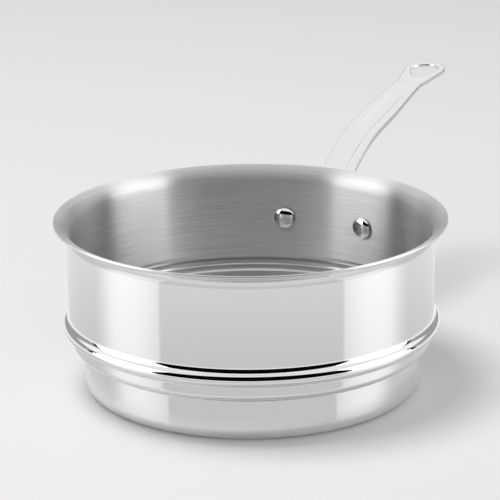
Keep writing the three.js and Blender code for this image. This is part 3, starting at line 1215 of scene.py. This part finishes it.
    def refine(self, made: Object) -> None:
        """Fuse the three forms into one casting, soften where they meet and cut the rivets' spot faces.

        Args:
            made: The handle's object.
        """
        forms = add_object("handle_forms", made.data.copy())
        spots = self._spots()
        fuse = made.modifiers.new("fuse", "REMESH")
        fuse.mode = "VOXEL"
        fuse.voxel_size = self.voxel
        hug = made.modifiers.new("hug", "SHRINKWRAP")
        hug.target = forms
        apply_modifiers(made)
        self._weigh_join(made)
        even = made.modifiers.new("even", "SMOOTH")
        even.iterations = self.even_rounds
        soften = made.modifiers.new("soften", "SMOOTH")
        soften.iterations = self.join_rounds
        soften.vertex_group = "join"
        cut = made.modifiers.new("spots", "BOOLEAN")
        cut.operation = "DIFFERENCE"
        cut.object = spots
        apply_modifiers(made)
        for helper in (forms, spots):
            bpy.data.meshes.remove(helper.data)
        self._mark(made.data)

    def _spots(self) -> Object:
        """Make the two cutters that give the rivets' tails a level seat.

        Returns:
            Their object.
        """
        bm = bmesh.new()
        reach = self.spot_seat + self.spot_reach / 2
        for side in (-1, 1):
            place = Matrix.Rotation(-side * self.rivet_turn, 4, "Z")
            place @= Matrix.Translation((0, reach, self.rivet_height))
            place @= Matrix.Rotation(-math.pi / 2, 4, "X")
            bmesh.ops.create_cone(
                bm,
                cap_ends=True,
                segments=self.spot_steps,
                radius1=self.spot_radius,
                radius2=self.spot_radius,
                depth=self.spot_reach,
                matrix=place,
            )
        return mesh_object("handle_spots", bm)

    def _weigh_join(self, made: Object) -> None:
        """Group the points where the stem meets the flange.

        Args:
            made: The handle's object.
        """
        group = made.vertex_groups.new(name="join")
        for vert in made.data.vertices:
            side = abs(vert.co.x)
            if side < self.root_width:
                off = abs(vert.co.y - self.flange_face(side))
                near = 1 - smoothstep(self.join_near, self.join_far, off)
                near *= 1 - smoothstep(self.join_inside, self.join_outside, side)
                if near > 0:
                    group.add([vert.index], near, "REPLACE")

    def _mark(self, mesh: Mesh) -> None:
        """Give each face the finish of its region.

        Args:
            mesh: The handle's mesh.
        """
        to_loop = self.loop_place().inverted()
        for face in mesh.polygons:
            face.material_index = self._region(face.center, face.normal, to_loop @ face.center).value

    def _region(self, place: Vector, normal: Vector, in_loop: Vector) -> CastRegion:
        """Tell which region a face belongs to.

        Args:
            place: Its centre.
            normal: Its normal.
            in_loop: Its centre in the loop plate's own frame.

        Returns:
            Its region.
        """
        past = in_loop.y - self.eye_start
        along = min(1.0, max(0.0, past / self.eye_length))
        radius = mix(self.eye_point, self.eye_radius, along)
        if math.hypot(in_loop.x, past - along * self.eye_length) < radius + self.eye_rim:
            return CastRegion.EYE
        slope = self.slope_at(place.y)
        up = normal.z * math.cos(slope) - normal.y * math.sin(slope)
        mouth = self.channel_width / 2 + self.channel_slope
        in_channel = abs(place.x) < mouth and in_loop.y < self.loop_tuck
        lean = self.channel_lean if in_channel else self.top_lean
        # Faces that don't lean up take the side finish, whose darker colour is painted shade.
        return CastRegion.TOP if up > lean else CastRegion.SIDE


@dataclass(frozen=True)
class PhotoCamera:
    """A camera that sees the object as the photograph does.

    Attributes:
        azimuth: Turn of the view about +Z, in degrees. At 0 it looks along +Y.
        elevation: Height of the view above the horizon, in degrees.
        roll: Turn of the picture, in degrees.
        distance: From the camera to the point that it aims at.
        aim_side: How far that point lies to the right of the basket's axis.
        aim_height: Its height.
        lens: Focal length, in millimetres.
        sensor: Width of the sensor, in millimetres.
    """

    azimuth: float = VIEW_AZIMUTH
    elevation: float = 17.348
    roll: float = -0.596
    distance: float = 1500 * MM
    aim_side: float = -0.533 * MM
    aim_height: float = 82.154 * MM
    lens: float = 183.606
    sensor: float = 36.0

    def build(self) -> Object:
        """Make the camera and give it to the scene.

        Returns:
            The camera.
        """
        rise = math.radians(self.elevation)
        turn = Matrix.Rotation(math.radians(self.azimuth), 3, "Z")
        back = turn @ Vector((0, -math.cos(rise), math.sin(rise)))
        right = turn @ Vector((1, 0, 0))
        up = back.cross(right)
        roll = math.radians(self.roll)
        side = right * math.cos(roll) + up * math.sin(roll)
        top = up * math.cos(roll) - right * math.sin(roll)
        lens = bpy.data.cameras.new("photo_camera")
        lens.lens, lens.sensor_width = self.lens, self.sensor
        made = add_object("photo_camera", lens)
        place = Matrix((side, top, back)).transposed().to_4x4()
        place.translation = turn @ Vector((self.aim_side, 0, self.aim_height)) + back * self.distance
        made.matrix_world = place
        bpy.context.scene.camera = made
        return made


@dataclass(frozen=True)
class Studio:
    """A pale floor in soft light, with a tall soft box at each side and a dark flag before the basket.

    Angles are in degrees, and other sizes in metres. A turn is measured from the direction of the camera,
    the same to both sides. Brightness is what the steel shows, unless it says otherwise. A band is where
    one brightness passes into the next.

    Attributes:
        azimuth: Turn of the studio about +Z, the same as the camera's.
        floor_colour: Colour of the floor.
        floor_size: Width of the floor.
        floor_drop: How far the floor lies below the base.
        floor_clear: How much of the floor the steel misses close to the base, from 0 to 1.
        shade_from: Distance from the axis up to which the steel shows the floor itself, with its shade.
        shade_to: Distance past which it shows only the painted table.
        fill_front: Brightness of the soft light that falls on the floor from the camera's side.
        fill_back: Brightness of that light from the far side.
        fill_band: Turns between which one passes into the other.
        backdrop: Brightness of the backdrop past the floor.
        room: Brightness of the back wall and the ceiling.
        high: Brightness of the upper walls beside the back wall.
        high_to: Turn where they end.
        high_top: Height where they end.
        dark: Brightness of the room behind the camera, and of the flag.
        dark_to: Turn where the dark room ends.
        dark_top: Height up to which it is dark.
        flag_near: Distance of the flag from the basket's axis, towards the camera.
        flag_width: Width of the flag.
        flag_bottom: Height of its lower edge.
        flag_top: Height of its upper edge.
        gap: Brightness of the gap behind each soft box.
        gap_to: Turn where the gap ends.
        low: Brightness of the lower walls beside the back wall.
        low_top: Height where the gap and the lower walls end.
        skirting: Brightness of the low strip at the back.
        skirting_top: Height of that strip.
        table_far: Brightness of the table towards the horizon.
        table_mid: Its brightness below the object's walls.
        table_low: Its brightness below the bead and the lip.
        table_near: Its brightness close under the object.
        far_band: Heights between which the middle passes into the far table.
        mid_band: Heights between which the low passes into the middle table.
        low_band: Heights between which the near passes into the low table.
        table_edge: Height at which the table ends towards the camera.
        gleam: Brightness that the soft boxes add to the table.
        gleam_fall: How much weaker that gleam is at its edges than in its middle.
        gleam_from: Turn where it starts.
        gleam_to: Turn where it ends.
        gleam_soft: Half width of its near edge.
        gleam_fade: Turns between which its far edge fades.
        gleam_rise: Heights between which it comes up.
        box: Brightness of the lower part of the soft boxes.
        box_fade: Brightness of their upper part.
        box_near: Place of a box's near edge: to the side, and away from the camera.
        box_far: Place of its far edge.
        box_split: Height where the upper part starts.
        box_top: Height of the boxes.
        key: Brightness that the lamp adds to a white floor.
        key_place: Place of the lamp: to the side, away from the camera, and up.
        key_size: Width of the lamp.
        key_aim: Height of the point that the lamp aims at.
    """

    azimuth: float = VIEW_AZIMUTH
    floor_colour: Colour = (0.845, 0.842, 0.832)
    floor_size: float = 8.0
    floor_drop: float = 0.2 * MM
    floor_clear: float = 0.15
    shade_from: float = 100 * MM
    shade_to: float = 140 * MM
    fill_front: float = 0.74
    fill_back: float = 0.36
    fill_band: Point = (30.0, 150.0)
    backdrop: float = 0.5
    room: float = 0.95
    high: float = 1.1
    high_to: float = 162.0
    high_top: float = 42.0
    dark: float = 0.002
    dark_to: float = 58.0
    dark_top: float = 38.0
    flag_near: float = 230 * MM
    flag_width: float = 532 * MM
    flag_bottom: float = 95 * MM
    flag_top: float = 266 * MM
    gap: float = 0.02
    gap_to: float = 114.0
    low: float = 0.4
    low_top: float = 24.0
    skirting: float = 0.12
    skirting_top: float = 12.0
    table_far: float = 0.98
    table_mid: float = 0.66
    table_low: float = 0.78
    table_near: float = 0.3
    far_band: Point = (-21.0, -14.5)
    mid_band: Point = (-48.0, -30.0)
    low_band: Point = (-88.0, -65.0)
    table_edge: float = -6.0
    gleam: float = 0.4
    gleam_fall: float = 0.5
    gleam_from: float = 58.7
    gleam_to: float = 109.5
    gleam_soft: float = 1.5
    gleam_fade: Point = (92.5, 119.5)
    gleam_rise: Point = (-42.0, -34.0)
    box: float = 2.9
    box_fade: float = 1.9
    box_near: Point = (1.02, -0.64)
    box_far: Point = (1.14, 0.28)
    box_split: float = 0.6
    box_top: float = 1.1
    key: float = 0.5
    key_place: tuple[float, float, float] = (-0.6, -0.1, 2.3)
    key_size: float = 1.1
    key_aim: float = 50 * MM

    CRISP = 1.0
    FIRM = 2.0
    SOFT = 3.0
    SOFTER = 4.0
    SOFTEST = 5.0

    @property
    def turned(self) -> Matrix:
        """Turn from the camera's directions to the object's frame."""
        return Matrix.Rotation(math.radians(self.azimuth), 3, "Z")

    def build(self) -> None:
        """Make the floor, the flag, the surroundings, the soft boxes and the lamp."""
        self._floor()
        self._flag()
        self._surroundings()
        for name, side in (("left_box", -1), ("right_box", 1)):
            self._soft_box(f"{name}_low", side, (0.0, self.box_split), self.box)
            self._soft_box(f"{name}_high", side, (self.box_split, self.box_top), self.box_fade)
        self._lamp()

    def _floor(self) -> None:
        """Lay the floor just under the base."""
        bm = bmesh.new()
        bmesh.ops.create_grid(bm, x_segments=1, y_segments=1, size=self.floor_size / 2)
        bmesh.ops.translate(bm, vec=(0, 0, -self.floor_drop), verts=bm.verts[:])
        floor = mesh_object("floor", bm)
        floor.data.materials.append(self._floor_material())

    def _floor_material(self) -> Material:
        """Make the floor's material: matt, and clear away from the base where the steel shows it.

        Returns:
            The material.
        """
        made, graph, surface = new_material("pale_floor")
        matt = graph.node("ShaderNodeBsdfDiffuse")
        matt.inputs["Color"].default_value = (*self.floor_colour, 1.0)
        clear = graph.node("ShaderNodeBsdfTransparent")
        reach = graph.node("ShaderNodeVectorMath", operation="LENGTH")
        graph.feed(reach.inputs[0], graph.node("ShaderNodeTexCoord").outputs["Object"])
        away = graph.ease(reach.outputs["Value"], self.shade_from, self.shade_to, self.floor_clear, 1.0)
        path = graph.node("ShaderNodeLightPath")
        blend = graph.node("ShaderNodeMixShader")
        graph.feed(blend.inputs[0], graph.math("MULTIPLY", away, path.outputs["Is Glossy Ray"]))
        graph.feed(blend.inputs[1], matt.outputs[0])
        graph.feed(blend.inputs[2], clear.outputs[0])
        graph.feed(surface, blend.outputs[0])
        return made

    def _flag(self) -> None:
        """Hang a dark flag before the basket, which only the steel shows."""
        tall = self.flag_top - self.flag_bottom
        centre = (0, -self.flag_near, self.flag_bottom + tall / 2)
        place = self.turned.to_4x4() @ Matrix.Translation(centre) @ Matrix.Rotation(math.pi / 2, 4, "X")
        place @= Matrix.Diagonal((self.flag_width / 2, tall / 2, 1, 1))
        bm = bmesh.new()
        bmesh.ops.create_grid(bm, x_segments=1, y_segments=1, size=1.0, matrix=place)
        flag = mesh_object("flag", bm)
        cloth, graph, surface = new_material("dark_flag")
        matt = graph.node("ShaderNodeBsdfDiffuse")
        matt.inputs["Color"].default_value = (self.dark, self.dark, self.dark, 1.0)
        graph.feed(surface, matt.outputs[0])
        flag.data.materials.append(cloth)
        flag.visible_camera = flag.visible_diffuse = flag.visible_shadow = False

    def _surroundings(self) -> None:
        """Paint what the steel shows, by direction: the room, and below the horizon the polished table."""
        world = bpy.data.worlds.new("studio")
        bpy.context.scene.world = world
        world.use_nodes = True
        graph = Graph(world.node_tree)
        output = graph.node("ShaderNodeOutputWorld")
        light = graph.node("ShaderNodeBackground")
        light.inputs["Color"].default_value = (1.0, 1.0, 1.0, 1.0)
        graph.feed(output.inputs["Surface"], light.outputs[0])
        turn, height = self._direction(graph)
        edge = graph.ease(turn, self.dark_to - self.CRISP, self.dark_to + self.CRISP, self.table_edge, 0.0)
        under = graph.ease(graph.math("SUBTRACT", height, edge), -self.CRISP, 0.0, 1.0, 0.0)
        level = graph.lay(self._room(graph, turn, height), self._table(graph, turn, height), under)
        path = graph.node("ShaderNodeLightPath")
        fill = graph.ease(turn, *self.fill_band, self.fill_front, self.fill_back)
        level = graph.lay(fill, level, path.outputs["Is Glossy Ray"])
        level = graph.lay(level, self.backdrop, path.outputs["Is Camera Ray"])
        graph.feed(light.inputs["Strength"], level)

    def _room(self, graph: Graph, turn: NodeSocket, height: NodeSocket) -> NodeSocket:
        """Paint the room above the horizon.

        Args:
            graph: The world's nodes.
            turn: Turn of a direction from the camera's.
            height: Its height above the horizon.

        Returns:
            Its brightness.
        """
        lower = graph.below(height, self.low_top, self.SOFT)
        beside = graph.between(turn, self.gap_to, self.high_to, self.SOFTER)
        front = graph.below(turn, self.dark_to, self.CRISP)
        level = graph.lay(self.room, self.skirting, graph.below(height, self.skirting_top, self.FIRM))
        level = graph.lay(level, self.high, graph.between(turn, self.dark_to, self.high_to, self.SOFTER))
        level = graph.lay(level, self.low, beside, lower)
        level = graph.lay(level, self.gap, graph.below(turn, self.gap_to, self.FIRM), lower)
        level = graph.lay(level, self.room, graph.above(height, self.high_top, self.SOFTEST))
        level = graph.lay(level, self.room, front)
        return graph.lay(level, self.dark, front, graph.below(height, self.dark_top, self.SOFT))

    def _table(self, graph: Graph, turn: NodeSocket, height: NodeSocket) -> NodeSocket:
        """Paint the table below the horizon, with the gleam of the soft boxes and painted shade close
        under the object.

        Args:
            graph: The world's nodes.
            turn: Turn of a direction from the camera's.
            height: Its height, below zero.

        Returns:
            Its brightness.
        """
        # The table darkens towards straight down. This is painted shade of the object on the table, seen
        # in the steel.
        level = graph.ease(height, *self.low_band, self.table_near, self.table_low)
        level = graph.ease(height, *self.mid_band, level, self.table_mid)
        level = graph.ease(height, *self.far_band, level, self.table_far)
        middle = (self.gleam_from + self.gleam_to) / 2
        across = graph.math("DIVIDE", graph.math("SUBTRACT", turn, middle), self.gleam_to - middle)
        fall = -self.gleam * self.gleam_fall
        dome = graph.math("MULTIPLY_ADD", graph.math("POWER", across, 2.0), fall, self.gleam)
        near_edge = graph.above(turn, self.gleam_from, self.gleam_soft)
        far_edge = graph.ease(turn, *self.gleam_fade, 1.0, 0.0)
        wide = graph.math("MULTIPLY", near_edge, far_edge)
        tall = graph.ease(height, *self.gleam_rise)
        return graph.math("MULTIPLY_ADD", dome, graph.math("MULTIPLY", wide, tall), level)

    def _direction(self, graph: Graph) -> tuple[NodeSocket, NodeSocket]:
        """Measure the direction that is looked up.

        Args:
            graph: The world's nodes.

        Returns:
            Its turn from the camera's direction and its height, in degrees.
        """
        turned = graph.node("ShaderNodeMapping", vector_type="POINT")
        turned.inputs["Rotation"].default_value = (0, 0, -math.radians(self.azimuth))
        graph.feed(turned.inputs["Vector"], graph.node("ShaderNodeTexCoord").outputs["Generated"])
        split = graph.node("ShaderNodeSeparateXYZ")
        graph.feed(split.inputs[0], turned.outputs[0])
        x, y, z = split.outputs
        turn = graph.math("ARCTAN2", graph.math("ABSOLUTE", x), graph.math("MULTIPLY", y, -1.0))
        return graph.math("DEGREES", turn), graph.math("DEGREES", graph.math("ARCSINE", z))

    def _soft_box(self, name: str, side: int, heights: Point, level: float) -> None:
        """Stand one part of a soft box beside the object, which lights the steel and not the floor.

        Args:
            name: Its name.
            side: -1 for the camera's left and 1 for its right.
            heights: Heights of its lower and upper edge.
            level: Its brightness.
        """
        middle = sum(heights) / 2
        ends = [Vector((side * x, y, middle)) for x, y in (self.box_near, self.box_far)[::side]]
        along = ends[1] - ends[0]
        lamp = bpy.data.lights.new(name, "AREA")
        lamp.shape = "RECTANGLE"
        lamp.size, lamp.size_y = along.length, heights[1] - heights[0]
        lamp.energy = level * math.pi * lamp.size * lamp.size_y
        across, up = along.normalized(), Vector((0, 0, 1))
        axes = Matrix((across, up, across.cross(up))).transposed()
        place = (self.turned @ axes).to_4x4()
        place.translation = self.turned @ ((ends[0] + ends[1]) / 2)
        made = add_object(name, lamp)
        made.matrix_world = place
        made.visible_camera = made.visible_diffuse = False

    def _lamp(self) -> None:
        """Hang a large soft lamp above, which the steel doesn't show."""
        lamp = bpy.data.lights.new("key_lamp", "AREA")
        lamp.shape = "DISK"
        lamp.size = self.key_size
        place = self.turned @ Vector(self.key_place)
        aim = Vector((0, 0, self.key_aim)) - place
        lamp.energy = self.key * math.pi * aim.length**2 * math.pi / (place.z / aim.length)
        made = add_object("key_lamp", lamp)
        made.matrix_world = Matrix.Translation(place) @ aim.to_track_quat("-Z", "Y").to_matrix().to_4x4()
        made.visible_glossy = False


def main() -> None:
    """Build the object and its studio."""
    logging.basicConfig(level=logging.INFO, format="%(name)s %(message)s")
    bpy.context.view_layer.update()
    bpy.context.scene.view_settings.view_transform = "Standard"
    sheet_finishes = (MIRROR_SHEET, BRUSHED_SHEET, CUT_EDGE, SATIN_SHEET)
    cast_finishes = (CAST_TOP, CAST_SIDE_PAINTED_SHADE, POLISHED_EYE)
    pieces: list[Piece] = [
        Basket("drawn_basket", "steamer_basket", "polished_sheet", sheet_finishes),
        Handle("cast_handle", "handle", "cast_handle", cast_finishes, crease=50.0),
        Rivet("left_rivet", "rivet_left", "rivet_steel", (MIRROR_RIVET,), side=-1),
        Rivet("right_rivet", "rivet_right", "rivet_steel", (MIRROR_RIVET,), side=1),
    ]
    for piece in pieces:
        piece.build()
    PhotoCamera().build()
    Studio().build()


if __name__ == "__main__":
    main()
